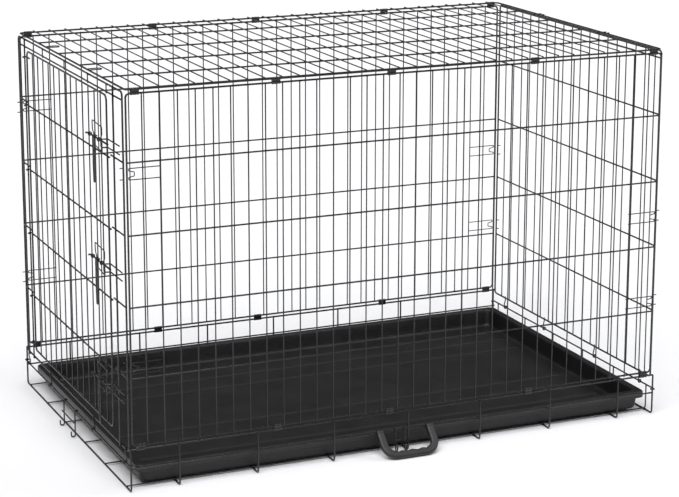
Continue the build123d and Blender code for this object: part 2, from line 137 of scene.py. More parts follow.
PADDLE_OPEN = 50.0       # degrees round the bolt where a paddle's hook starts
KEEPER_X = -(END_X + EDGE_OUT + RAIL_R + 1.5 + GAP)

PAN_X = (-593.0, 601.0)
PAN_HALF_Y = 366.0
PAN_CORNER_R = 14.0
PAN_GROOVE_HALF = 6.5
PAN_UNDER_Z = LONG_Z + FLOOR_R + 0.1
PAN_FLOOR_Z = PAN_UNDER_Z + 2.2
PAN_GROOVE_Y = [220.0, 146.0, -84.0, -235.0]
PAN_GROOVE_END = 552.0
STOP_Y = [-19.0, 63.0]
LOCK_X = [-22.0, -1.0]
HANDLE_HALF = 58.0
HANDLE_REACH = 57.0
HANDLE_TILT = math.radians(47.0)
HANDLE_BEND = 26.0
GRIP_HALF_W = 8.5
GRIP_HALF_T = 6.0
FINGER_PITCH = 24.0


def linear(hex_colour):
    """Linear colour of an sRGB hex value."""
    s = np.array([int(hex_colour[k:k + 2], 16) for k in (0, 2, 4)]) / 255.0
    return tuple(float(c) for c in np.where(s <= 0.04045, s / 12.92, ((s + 0.055) / 1.055) ** 2.4))


# ---- surfaces ---------------------------------------------------------------------------------
def unit(v):
    """Each vector divided by its length."""
    return v / np.linalg.norm(v, axis=-1, keepdims=True)


def rounded(points, radii, closed=False, steps=6):
    """A line of points with its corners rounded.

    Each corner becomes an arc tangent to both runs. With C its centre and U and W the radii to its
    two ends, the arc is C + r (sin((1 - t) a) U + sin(t a) W) / sin(a), for t from 0 to 1 and a
    the angle turned.
    """
    pts = np.asarray(points, float)
    count = len(pts)
    radii = list(np.broadcast_to(radii, (count if closed else count - 2,)))
    radii = radii if closed else [0.0] + radii + [0.0]
    line = []
    for i in range(count):
        if not closed and i in (0, count - 1):
            line.append(pts[i:i + 1])
            continue
        back = unit(pts[i - 1] - pts[i])
        ahead = unit(pts[(i + 1) % count] - pts[i])
        half = 0.5 * math.acos(max(-1.0, min(1.0, float(back @ ahead))))
        centre = pts[i] + unit(back + ahead) * radii[i] / math.sin(half)
        first = (pts[i] + back * radii[i] / math.tan(half) - centre) / radii[i]
        last = (pts[i] + ahead * radii[i] / math.tan(half) - centre) / radii[i]
        turn = math.pi - 2 * half
        t = np.linspace(0, 1, steps + 1)[:, None]
        line.append(centre + radii[i] * (np.sin((1 - t) * turn) * first + np.sin(t * turn) * last)
                    / math.sin(turn))
    return np.concatenate(line)


def arc(centre, out, along, reach, start, end, steps=16):
    """Points of an arc: C + reach (cos a out + sin a along), for a from start to end in degrees."""
    a = np.radians(np.linspace(start, end, steps + 1))[:, None]
    swing = np.cos(a) * np.array(out, float) + np.sin(a) * np.array(along, float)
    return np.array(centre, float) + reach * swing


def curled(centre, out, along, reach, lead, turn=250.0):
    """A wire that comes in beside an axis and curls round it: the lead's points, each a distance
    out and a distance along from the axis, and then an arc of the given turn."""
    o, u = np.array(out, float), np.array(along, float)
    points = [np.array(centre, float) + a * o + b * u for a, b in lead + [(reach, 0.0)]]
    line = rounded(points, 2.5) if len(points) > 2 else np.array(points)
    return np.concatenate([line[:-1], arc(centre, o, u, reach, 0.0, -turn)])


def side_vectors(tangents):
    """Two directions square to each tangent, T x R and (T x R) x T, where R is the axis that is
    farthest from every tangent."""
    axes = np.array([(1, 0, 0), (0, 1, 0), (0, 0, 1), (0.6, 0.64, 0.48), (0.6, -0.64, 0.48)], float)
    clear = np.linalg.norm(np.cross(tangents[None], axes[:, None]), axis=-1).min(axis=1)
    side = unit(np.cross(tangents, axes[int(clear.argmax())]))
    return side, np.cross(side, tangents)


def tube(path, radius, sides=14, closed=False):
    """A round wire along a path: P + r (cos a S + sin a U), with S and U square to the path.

    Cut ends are broken by two narrower rings and closed by a flat disc.
    """
    p = np.asarray(path, float)
    if closed:
        tangents = unit(np.roll(p, -1, 0) - np.roll(p, 1, 0))
        scale = np.ones(len(p))
    else:
        tangents = unit(np.gradient(p, axis=0))
        inset = radius * np.array([[0.0], [0.12], [0.42]])
        p = np.concatenate([p[0] + inset * tangents[0], p[1:-1], p[-1] - inset[::-1] * tangents[-1]])
        tangents = np.concatenate([tangents[[0, 0, 0]], tangents[1:-1], tangents[[-1, -1, -1]]])
        scale = np.concatenate([[0.66, 0.9, 1.0], np.ones(len(p) - 6), [1.0, 0.9, 0.66]])
    side, up = side_vectors(tangents)
    a = np.linspace(0, 2 * np.pi, sides, endpoint=False)[None, :, None]
    ring = np.cos(a) * side[:, None] + np.sin(a) * up[:, None]
    return banded(p[:, None] + radius * scale[:, None, None] * ring, closed)


def banded(rings, closed=False):
    """Rings of points joined by bands of quads, closed on itself or by a flat face at each end."""
    rows, sides = rings.shape[:2]
    index = np.arange(rows * sides).reshape(rows, sides)
    near = index if closed else index[:-1]
    far = np.roll(index, -1, 0) if closed else index[1:]
    quads = np.stack([near, far, np.roll(far, -1, 1), np.roll(near, -1, 1)], -1).reshape(-1, 4)
    faces = [quads] if closed else [quads, index[:1], index[-1:, ::-1]]
    return rings.reshape(-1, 3), faces


def repeated(shell, offsets):
    """The same surface at each offset: every vertex plus every offset."""
    verts, faces = shell
    offsets = np.asarray(offsets, float).reshape(-1, 3)
    steps = (np.arange(len(offsets)) * len(verts))[:, None, None]
    moved = (verts[None] + offsets[:, None]).reshape(-1, 3)
    return moved, [(f[None] + steps).reshape(-1, f.shape[1]) for f in faces]


def joined(shells):
    """One list of vertices and one of faces from several surfaces."""
    verts, faces, count = [], [], 0
    for shell_verts, shell_faces in shells:
        verts.append(shell_verts)
        faces += [row for f in shell_faces for row in (f + count).tolist()]
        count += len(shell_verts)
    return np.concatenate(verts), faces


def rods(starts, direction, length, radius, sides=12):
    """Equal straight wires: one wire repeated at each start."""
    base = tube([(0, 0, 0), np.array(direction, float) * length], radius, sides)
    return repeated(base, starts)


def loop(plane, half_w, low, high, radius, bend, sides=16):
    """A rounded rectangular frame of wire; plane turns (across, height) into a point."""
    corners = [(half_w, low), (half_w, high), (-half_w, high), (-half_w, low)]
    return tube(rounded([plane(u, v) for u, v in corners], bend, closed=True), radius, sides, closed=True)


def nuggets(centres, half):
    """Weld nuggets: at each crossing an ellipsoid (hx cos b cos a, hy cos b sin a, hz sin b), where
    the squeezed metal and the coating fill the notch between two round wires."""
    a = np.linspace(0, 2 * np.pi, 8, endpoint=False)[None]
    b = np.radians([-72.0, -30.0, 30.0, 72.0])[:, None]
    x = half[0] * np.cos(b) * np.cos(a)
    y = half[1] * np.cos(b) * np.sin(a)
    z = half[2] * np.sin(b) * np.ones_like(a)
    rings = np.stack([x, y, z], -1)[:, ::-1]
    return repeated(banded(rings), centres)


def crossings(xs, ys, zs):
    """Every combination of the given coordinates."""
    return np.stack(np.meshgrid(xs, ys, zs, indexing="ij"), -1).reshape(-1, 3)


def piece(name, shells, body, nodes, finish, crease=40.0):
    """Makes one mesh, in metres, from surfaces in millimetres, and gives it to its body."""
    verts, faces = joined(shells)
    mesh = bpy.data.meshes.new(name)
    mesh.from_pydata((verts + ORIGIN) / 1000.0, [], faces)
    if mesh.validate():
        raise ValueError(f"{name}: the mesh had broken faces")
    mesh.shade_smooth()
    mesh.set_sharp_from_angle(angle=math.radians(crease))
    mesh.materials.append(finish)
    obj = bpy.data.objects.new(name, mesh)
    bpy.context.scene.collection.objects.link(obj)
    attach(obj, body)
    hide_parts(*nodes)
    return obj


# ---- materials --------------------------------------------------------------------------------
def add(tree, kind, settings, links):
    """Adds a node, sets its sockets (by name or number) and properties, and links its inputs."""
    made = tree.nodes.new(kind)
    for key, value in settings.items():
        if isinstance(key, int) or key in made.inputs:
            made.inputs[key].default_value = value
        else:
            setattr(made, key, value)
    for key, source in links.items():
        tree.links.new(source, made.inputs[key])
    return made


def blank(name):
    """An empty node material with its output, its object coordinates and its shader."""
    found = bpy.data.materials.get(name)
    if found:
        return found, None, None, None
    material = bpy.data.materials.new(name)
    material.use_nodes = True
    tree = material.node_tree
    tree.nodes.clear()
    place = add(tree, "ShaderNodeTexCoord", {}, {})
    shader = add(tree, "ShaderNodeBsdfPrincipled", {}, {})
    add(tree, "ShaderNodeOutputMaterial", {}, {"Surface": shader.outputs["BSDF"]})
    return material, tree, place, shader


def coated_wire(name, colour, rough, scuff_height=0.0, rub=0.0):
    """Black electro-coat on drawn steel wire: a thin, even, satin-glossy film.

    The eye gets long white streaks along each wire, a slight unevenness in their width where the
    coat ran before it was baked, and grey rubs where the wire is handled or stands on the floor.
    """
    material, tree, place, shader = blank(name)
    if tree is None:
        return material
    where = place.outputs["Object"]
    # runs in the coat are 10 to 15 mm long
    runs = add(tree, "ShaderNodeTexNoise", {"Scale": 1000 / 12.0, "Detail": 3.0, "Roughness": 0.6},
               {"Vector": where}).outputs["Fac"]
    # orange peel is about 0.5 mm across and too fine to show, so it is drawn at 2.5 mm
    peel = add(tree, "ShaderNodeTexNoise", {"Scale": 1000 / 2.5, "Detail": 2.0},
               {"Vector": where}).outputs["Fac"]
    # rubs are about 30 mm apart
    marks = add(tree, "ShaderNodeTexNoise", {"Scale": 1000 / 30.0, "Detail": 6.0, "Roughness": 0.75},
                {"Vector": where}).outputs["Fac"]
    worn = add(tree, "ShaderNodeMapRange",
               {"From Min": 0.62 - rub, "From Max": 0.78 - rub, "To Min": 0.0, "To Max": 0.55},
               {"Value": marks}).outputs["Result"]
    if scuff_height:
        # scuffs from the floor fade out with height and are broken up by the runs
        height = add(tree, "ShaderNodeSeparateXYZ", {}, {"Vector": where}).outputs["Z"]
        low = add(tree, "ShaderNodeMapRange",
                  {"From Min": 0.0, "From Max": scuff_height, "To Min": 1.0, "To Max": 0.0},
                  {"Value": height}).outputs["Result"]
        patchy = add(tree, "ShaderNodeMapRange",
                     {"From Min": 0.4, "From Max": 0.6, "To Min": 0.2, "To Max": 0.9},
                     {"Value": runs}).outputs["Result"]
        scuffs = add(tree, "ShaderNodeMath", {"operation": "MULTIPLY"}, {0: low, 1: patchy}).outputs["Value"]
        worn = add(tree, "ShaderNodeMath", {"operation": "MAXIMUM"}, {0: worn, 1: scuffs}).outputs["Value"]
    tone = add(tree, "ShaderNodeMix",
               {"data_type": "RGBA", 6: (*colour, 1.0), 7: (*linear("3A393B"), 1.0)}, {0: worn}).outputs[2]
    gloss = add(tree, "ShaderNodeMapRange",
                {"From Min": 0.3, "From Max": 0.7, "To Min": rough - 0.07, "To Max": rough + 0.1},
                {"Value": runs}).outputs["Result"]
    bump = add(tree, "ShaderNodeBump", {"Strength": 0.12, "Distance": 0.0002}, {"Height": peel})
    tree.links.new(tone, shader.inputs["Base Color"])
    tree.links.new(gloss, shader.inputs["Roughness"])
    tree.links.new(bump.outputs["Normal"], shader.inputs["Normal"])
    shader.inputs["IOR"].default_value = 1.5
    shader.inputs["Coat Weight"].default_value = 0.15
    shader.inputs["Coat Roughness"].default_value = 0.12
    return material


def moulded(name, colour, pale, rough, grain_mm, relief):
    """Injection- or vacuum-moulded black plastic with a fine leather-like grain.

    The grain breaks reflections into a soft grey sheen, and shallow flow marks, rubs and dust
    change that sheen slowly over a hand's width.
    """
    material, tree, place, shader = blank(name)
    if tree is None:
        return material
    where = place.outputs["Object"]
    # the grain's pebbles are about 1 mm and are drawn larger, so that they show
    cells = add(tree, "ShaderNodeTexVoronoi", {"Scale": 1000 / grain_mm, "feature": "DISTANCE_TO_EDGE"},
                {"Vector": where}).outputs["Distance"]
    fine = add(tree, "ShaderNodeTexNoise", {"Scale": 1000 / (0.6 * grain_mm), "Detail": 4.0},
               {"Vector": where}).outputs["Fac"]
    # flow marks and rubs change over about 90 mm
    flow = add(tree, "ShaderNodeTexNoise", {"Scale": 1000 / 90.0, "Detail": 5.0, "Roughness": 0.65},
               {"Vector": where}).outputs["Fac"]
    pebbles = add(tree, "ShaderNodeMapRange",
                  {"From Min": 0.0, "From Max": 0.12, "To Min": 0.0, "To Max": 1.0},
                  {"Value": cells}).outputs["Result"]
    height = add(tree, "ShaderNodeMath", {"operation": "MULTIPLY_ADD", 1: 0.6},
                 {0: fine, 2: pebbles}).outputs["Value"]
    bump = add(tree, "ShaderNodeBump", {"Strength": relief, "Distance": 0.0004}, {"Height": height})
    rubbed = add(tree, "ShaderNodeMapRange",
                 {"From Min": 0.35, "From Max": 0.75, "To Min": 0.0, "To Max": 1.0},
                 {"Value": flow}).outputs["Result"]
    tone = add(tree, "ShaderNodeMix", {"data_type": "RGBA", 6: (*colour, 1.0), 7: (*pale, 1.0)},
               {0: rubbed}).outputs[2]
    # painted shade: a groove's floor is darkened to deep black, in place of the shade and the missing sheen
    # in the groove, and it is also made matt
    deep = add(tree, "ShaderNodeAttribute", {"attribute_name": "groove"}, {}).outputs["Fac"]
    painted_groove_shade = add(tree, "ShaderNodeMix", {"data_type": "RGBA", 7: (*linear("050506"), 1.0)},
                 {0: deep, 6: tone}).outputs[2]
    sheen = add(tree, "ShaderNodeMapRange",
                {"From Min": 0.3, "From Max": 0.7, "To Min": rough - 0.05, "To Max": rough + 0.08},
                {"Value": flow}).outputs["Result"]
    matt = add(tree, "ShaderNodeMath", {"operation": "MULTIPLY_ADD", 1: 0.35},
               {0: deep, 2: sheen}).outputs["Value"]
    tree.links.new(painted_groove_shade, shader.inputs["Base Color"])
    tree.links.new(matt, shader.inputs["Roughness"])
    tree.links.new(bump.outputs["Normal"], shader.inputs["Normal"])
    shader.inputs["IOR"].default_value = 1.49
    return material


def studio_paper(name, colour):
    """Seamless white background paper: matt and even, with a very slight tooth."""
    material, tree, place, shader = blank(name)
    if tree is None:
        return material
    tooth = add(tree, "ShaderNodeTexNoise", {"Scale": 1000 / 8.0, "Detail": 3.0},
                {"Vector": place.outputs["Object"]}).outputs["Fac"]
    bump = add(tree, "ShaderNodeBump", {"Strength": 0.02, "Distance": 0.0005}, {"Height": tooth})
    tree.links.new(bump.outputs["Normal"], shader.inputs["Normal"])
    shader.inputs["Base Color"].default_value = (*colour, 1.0)
    shader.inputs["Roughness"].default_value = 0.9
    shader.inputs["Specular IOR Level"].default_value = 0.1
    return material


def frame_finish(colours):
    """Black electro-coated frame wire, satin gloss."""
    return coated_wire("Electro-coated frame wire", colours.wire, 0.27)


def grid_finish(colours):
    """Black electro-coated grid wire, thinner and a little duller than the frames."""
    return coated_wire("Electro-coated grid wire", colours.wire, 0.31)


def floor_finish(colours):
    """Black electro-coated floor wire, scuffed grey where it stands."""
    return coated_wire("Scuffed electro-coated floor wire", colours.wire, 0.3, scuff_height=0.005)


def spring_finish(colours):
    """Thin black-coated spring wire, brighter because it is drawn hard and smooth."""
    return coated_wire("Coated spring wire", colours.spring, 0.24)


def latch_finish(colours):
    """Black-coated latch wire, rubbed grey by the hand and by sliding."""
    return coated_wire("Slide-worn coated latch wire", colours.wire, 0.25, rub=0.05)


def clip_finish(colours):
    """Black-coated crimped sheet steel, rubbed where its edges turn."""
    return coated_wire("Coated crimped sheet steel", colours.clip, 0.34, rub=0.08)


# ---- user settings ----------------------------------------------------------------------------
class CrateSizes(bpy.types.PropertyGroup):
    """Sizes that change how the wires and mouldings look."""

    weld: bpy.props.FloatProperty(
        name="Weld size", description="Half width of a weld nugget beside its wire's radius",
        default=1.25, min=0.5, max=2.0)
    groove: bpy.props.FloatProperty(
        name="Pan groove depth", description="Depth of the long grooves in the pan's floor",
        default=0.0018, min=0.0, max=0.002, unit="LENGTH")
    finger: bpy.props.FloatProperty(
        name="Finger wave", description="Depth of the finger waves inside the handle's grip",
        default=0.0024, min=0.0, max=0.004, unit="LENGTH")
    grain: bpy.props.FloatProperty(
        name="Plastic grain", description="Width of one pebble of the pan's grain",
        default=0.004, min=0.0005, max=0.01, unit="LENGTH")


def colour_setting(name, description, value):
    """A colour that a user can change, from its sRGB hex value."""
    return bpy.props.FloatVectorProperty(name=name, description=description, subtype="COLOR", size=3,
                                         default=linear(value), min=0.0, max=1.0)


class CrateColours(bpy.types.PropertyGroup):
    """Colours of the finishes."""

    wire: colour_setting("Wire", "Colour of the coated wire", "0B0B0D")
    spring: colour_setting("Spring wire", "Colour of the thin corner wires", "0F0F11")
    clip: colour_setting("Clips", "Colour of the crimped clips", "111113")
    pan: colour_setting("Pan", "Colour of the moulded pan", "111113")
    handle: colour_setting("Handle", "Colour of the carry handle", "171618")
    floor: colour_setting("Floor", "Colour of the studio floor", "F4F4F6")


# ---- base -------------------------------------------------------------------------------------
class CRATE_OT_base(bpy.types.Operator):
    """Builds the base: cross wires with their legs, floor wires and rails."""

    bl_idname = "crate.base"
    bl_label = "Base tray frame"

    def execute(self, context):
        colours = context.scene.crate_colours
        weld = context.scene.crate_sizes.weld
        stand = floor_finish(colours)
        rail = frame_finish(colours)
        top = BASE_RAIL_Z + 0.5

        def leg(x):
            points = [(x, -HALF_Y, top), (x, -HALF_Y, BASE_R), (x, HALF_Y, BASE_R), (x, HALF_Y, top)]
            return tube(rounded(points, 7.0), BASE_R)

        def leg_welds(xs):
            sides = np.array([-1.0, 1.0])
            y_in = sides * (HALF_Y - BASE_R)
            rails = crossings(xs, y_in, [BASE_RAIL_Z, LOWER_RAIL_Z])
            floor = crossings(xs, FLOOR_Y, [2 * BASE_R])
            return [nuggets(rails, (weld * BASE_R, 0.9, weld * RAIL_R)),
                    nuggets(floor, (weld * BASE_R, weld * FLOOR_R, 0.9))]

        piece("base_cross_wires_coated", [leg(x) for x in LEG_X] + leg_welds(LEG_X),
              "base", ["base_cross_wires"], stand)
        for end, name in ((-1, "door"), (1, "far")):
            piece(f"base_end_wire_{name}_coated", [leg(end * HALF_X)] + leg_welds([end * HALF_X]),
                  "base", [f"base_end_wire_{name}"], stand)
        reach = HALF_X + BASE_R
        for label, y, z, radius in (("top", TOP_RAIL_Y, BASE_RAIL_Z, FRAME_R),
                                    ("lower", LOWER_RAIL_Y, LOWER_RAIL_Z, RAIL_R)):
            starts = [(-reach, -y, z), (-reach, y, z)]
            piece(f"base_{label}_rails_coated", [rods(starts, (1, 0, 0), 2 * reach, radius, 16)],
                  "base", [f"base_{label}_rails"], rail)
        turn_in = END_RAIL_X - HALF_X
        for end, name in ((-1, "door"), (1, "far")):
            out = (end, 0, 0)
            near = arc((end * HALF_X, -HALF_Y, END_RAIL_Z), out, (0, 1, 0), turn_in, -220.0, 0.0)
            far = arc((end * HALF_X, HALF_Y, END_RAIL_Z), out, (0, 1, 0), turn_in, 0.0, 220.0)
            piece(f"base_end_rail_{name}_coated", [tube(np.concatenate([near, far]), RAIL_R, 16)],
                  "base", [f"base_end_rail_{name}"], rail)
        x = END_RAIL_X - RAIL_R - FLOOR_R - GAP
        wires = [tube(rounded([(-HALF_X - BASE_R, y, LONG_Z), (x, y, LONG_Z), (x, y, END_RAIL_Z + 3.0)], 6.0),
                      FLOOR_R, 12) for y in FLOOR_Y]
        spots = crossings([x + FLOOR_R], FLOOR_Y, [END_RAIL_Z])
        piece("base_floor_wires_coated", wires + [nuggets(spots, (0.9, weld * FLOOR_R, weld * RAIL_R))],
              "base", ["base_floor_wires"], stand)
        return {"FINISHED"}


# ---- long sides -------------------------------------------------------------------------------
def wall(y):
    """Turns (along, height) into a point of a long side's plane."""
    return lambda u, v: (u, y, v)


def end_wall(x):
    """Turns (across, height) into a point of an end's plane."""
    return lambda u, v: (x, u, v)


def grid_pitch():
    """Positions of the uprights along a long side and of the wires across the roof."""
    return np.linspace(-HALF_X, HALF_X, SIDE_BAYS + 1)[1:-1]


def corner_spring(y, out, end, z, gap):
    """Two thin wires from the second upright to the corner, joined by a D-shaped hook."""
    yy = y + out * (UPRIGHT_OUT - UPRIGHT_R - SPRING_R - GAP)
    x_in = end * (HALF_X - 2 * 2 * HALF_X / SIDE_BAYS - UPRIGHT_R)
    x_turn = end * (SIDE_X - FRAME_R - SPRING_R - 0.4)
    x_hook = end * (SIDE_X - FRAME_R - 13.0)
    lower, upper = z - gap / 2, z + gap / 2
    points = [(x_in, yy, lower), (x_turn, yy, lower), (x_turn, yy, z - 6.5), (x_hook, yy, z - 4.0),
              (x_hook, yy, z + 4.0), (x_turn, yy, z + 6.5), (x_turn, yy, upper), (x_in, yy, upper)]
    return tube(rounded(points, 1.8, steps=5), SPRING_R, 10)


def crimped_clips(y, low_z, high_z):
    """Clips of sheet steel pressed round two rails.

    The outline, square to the rails, is a rounded bar with a waist: across is
    R cos a (1 - k exp(-(z / w)^2)) and height is (h + R) sin a, each raised to a power that
    flattens it. It is carried along the rails and pinched in by two crimps.
    """
    h = abs(high_z - low_z) / 2
    outer = FRAME_R + 1.25
    a = np.linspace(0, 2 * np.pi, 28, endpoint=False)
    high = np.sign(np.sin(a)) * np.abs(np.sin(a)) ** 0.8 * (h + outer)
    across = np.sign(np.cos(a)) * np.abs(np.cos(a)) ** 0.7 * outer * (1 - 0.34 * np.exp(-(high / 1.8) ** 2))
    along = np.array([-9.0, -8.7, -7.0, -5.2, -4.2, -3.2, -1.5, 1.5, 3.2, 4.2, 5.2, 7.0, 8.7, 9.0])
    pinch = 1 - 0.09 * np.exp(-((np.abs(along) - 4.2) / 0.6) ** 2)
    pinch[[0, -1]] = 0.92
    rings = np.stack([along[:, None] * np.ones_like(a), pinch[:, None] * across, pinch[:, None] * high], -1)
    mid = (high_z + low_z) / 2
    return repeated(banded(rings), [(x, y, mid) for x in CLIP_X])


def long_side(name, y, out, context):
    """One long side and its clips."""
    colours = context.scene.crate_colours
    weld = context.scene.crate_sizes.weld
    grid = grid_finish(colours)
    xs = grid_pitch()
    piece(f"{name}_frame_coated", [loop(wall(y), SIDE_X, SIDE_LOW_Z, SIDE_TOP_Z, FRAME_R, FRAME_BEND)],
          name, [f"{name}_frame"], frame_finish(colours))
    low = SIDE_LOW_Z - FRAME_R
    height = SIDE_TOP_Z + FRAME_R - low
    y_up = y + out * UPRIGHT_OUT
    y_weld = y + out * (UPRIGHT_OUT - UPRIGHT_R)
    spots = crossings(xs, [y_weld], [SIDE_LOW_Z] + CROSSBAR_Z + [SIDE_TOP_Z])
    piece(f"{name}_uprights_coated",
          [rods([(x, y_up, low) for x in xs], (0, 0, 1), height, UPRIGHT_R, 10),
           nuggets(spots, (weld * UPRIGHT_R, 0.8, weld * UPRIGHT_R))],
          name, [f"{name}_uprights"], grid)
    reach = SIDE_X - FRAME_R - GAP
    bars = [(-reach, y + out * BAR_OUT, z) for z in CROSSBAR_Z]
    ends = crossings([-reach, reach], [y], CROSSBAR_Z)
    piece(f"{name}_crossbars_coated",
          [rods(bars, (1, 0, 0), 2 * reach, RAIL_R, 14), nuggets(ends, (0.8, 1.9, 1.9))],
          name, [f"{name}_crossbars"], grid)
    springs = [corner_spring(y, out, end, z, gap) for end in (-1, 1) for z, gap in CORNER_CLIPS[end]]
    piece(f"{name}_corner_springs_coated", springs, name, [f"{name}_corner_clips"],
          spring_finish(colours))
    piece(f"{name}_base_clips_crimped", [crimped_clips(y, BASE_RAIL_Z, SIDE_LOW_Z)], name,
          [f"{name}_base_clips"], clip_finish(colours))


class CRATE_OT_front_side(bpy.types.Operator):
    """Builds the long side that carries the handle."""

    bl_idname = "crate.front_side"
    bl_label = "Front long side"

    def execute(self, context):
        long_side("front_side", -RAIL_Y, -1, context)
        return {"FINISHED"}


class CRATE_OT_back_side(bpy.types.Operator):
    """Builds the other long side."""

    bl_idname = "crate.back_side"
    bl_label = "Back long side"

    def execute(self, context):
        long_side("back_side", RAIL_Y, 1, context)
        return {"FINISHED"}


# ---- roof -------------------------------------------------------------------------------------
class CRATE_OT_roof(bpy.types.Operator):
    """Builds the roof and the hooks that hold the ends."""

    bl_idname = "crate.roof"
    bl_label = "Roof"

    def execute(self, context):
        colours = context.scene.crate_colours
        weld = context.scene.crate_sizes.weld
        grid = grid_finish(colours)
        xs = grid_pitch()
        piece("roof_frame_coated",
              [loop(lambda u, v: (u, v, ROOF_Z), SIDE_X, -RAIL_Y, RAIL_Y, FRAME_R, FRAME_BEND)],
              "roof", ["roof_frame"], frame_finish(colours))
        reach_y = RAIL_Y + FRAME_R
        over = ROOF_Z + UPRIGHT_OUT
        spots = crossings(xs, [-RAIL_Y] + ROOF_BAR_Y + [RAIL_Y], [over - UPRIGHT_R])
        piece("roof_cross_wires_coated",
              [rods([(x, -reach_y, over) for x in xs], (0, 1, 0), 2 * reach_y, UPRIGHT_R, 10),
               nuggets(spots, (weld * UPRIGHT_R, weld * UPRIGHT_R, 0.8))],
              "roof", ["roof_cross_wires"], grid)
        reach_x = SIDE_X - FRAME_R - GAP
        bars = [(-reach_x, y, ROOF_Z + BAR_OUT) for y in ROOF_BAR_Y]
        ends = crossings([-reach_x, reach_x], ROOF_BAR_Y, [ROOF_Z])
        piece("roof_long_wires_coated",
              [rods(bars, (1, 0, 0), 2 * reach_x, RAIL_R, 14), nuggets(ends, (0.8, 1.9, 1.9))],
              "roof", ["roof_long_wires"], grid)
        z = ROOF_Z + FRAME_R + 1.2 + GAP
        hooks = []
        for end in (-1, 1):
            for y in (-150.0, 150.0):
                start, inner = end * (SIDE_X + FRAME_R), end * (SIDE_X - 24.0)
                points = [(start, y - 7.0, z), (inner, y - 9.0, z), (inner, y + 9.0, z), (start, y + 7.0, z)]
                hooks.append(tube(rounded(points, 7.0), 1.2, 12))
        piece("roof_hooks_coated", hooks, "roof", ["roof_hooks"], spring_finish(colours))
        for label, y in (("front", -RAIL_Y), ("back", RAIL_Y)):
            piece(f"roof_{label}_clips_crimped", [crimped_clips(y, SIDE_TOP_Z, ROOF_Z)], "roof",
                  [f"roof_{label}_clips"], clip_finish(colours))
        return {"FINISHED"}


# ---- ends -------------------------------------------------------------------------------------
def end_eyes(side, ys):
    """Short uprights that jog in and curl round the base's end rail."""
    reach = RAIL_R + EYE_GAP + UPRIGHT_R
    upper = END_RAIL_X - END_X - UPRIGHT_OUT
    lead = [(upper, END_LOW_Z + FRAME_R - END_RAIL_Z), (upper, 18.0), (reach, 8.0)]
    return [tube(curled((side * END_RAIL_X, y, END_RAIL_Z), (-side, 0, 0), (0, 0, 1), reach, lead, 300.0),
                 UPRIGHT_R, 12) for y in ys]


def catch_tips(side):
    """Short wire tips that stand out from an end's corner uprights."""
    starts = [(side * (END_X + FRAME_R + GAP), sy * END_HALF_Y, z + dz)
              for sy in (-1, 1) for z, gap in CORNER_CLIPS[side] for dz in (-gap / 2, gap / 2)]
    return rods(starts, (side, 0, 0), 5.98, SPRING_R, 10)


class CRATE_OT_far_end(bpy.types.Operator):
    """Builds the end without a door."""

    bl_idname = "crate.far_end"
    bl_label = "Far end"

    def execute(self, context):
        colours = context.scene.crate_colours
        weld = context.scene.crate_sizes.weld
        grid = grid_finish(colours)
        piece("far_end_frame_coated",
              [loop(end_wall(END_X), END_HALF_Y, END_LOW_Z, END_TOP_Z, FRAME_R, FRAME_BEND)],
              "far_end", ["far_end_frame"], frame_finish(colours))
        ys = np.linspace(-HALF_Y, HALF_Y, END_BAYS + 1)[1:-1]
        low = END_LOW_Z - FRAME_R
        height = END_TOP_Z + FRAME_R - low
        levels = CROSSBAR_Z + [END_TOP_BAR_Z]
        spots = crossings([END_X + UPRIGHT_OUT - UPRIGHT_R], ys, [END_LOW_Z] + levels + [END_TOP_Z])
        piece("far_end_uprights_coated",
              [rods([(END_X + UPRIGHT_OUT, y, low) for y in ys], (0, 0, 1), height, UPRIGHT_R, 10),
               nuggets(spots, (0.8, weld * UPRIGHT_R, weld * UPRIGHT_R))],
              "far_end", ["far_end_uprights"], grid)
        reach = END_HALF_Y - FRAME_R - GAP
        ends = crossings([END_X], [-reach, reach], levels)
        piece("far_end_crossbars_coated",
              [rods([(END_X + BAR_OUT, -reach, z) for z in levels], (0, 1, 0), 2 * reach, RAIL_R, 14),
               nuggets(ends, (1.9, 0.8, 1.9))],
              "far_end", ["far_end_crossbars"], grid)
        piece("far_end_hinge_eyes_coated", end_eyes(1, FAR_EYE_Y),
              "far_end", ["far_end_hinge_eyes"], grid)
        piece("far_end_catches_coated", [catch_tips(1)], "far_end", ["far_end_catches"],
              spring_finish(colours))
        return {"FINISHED"}


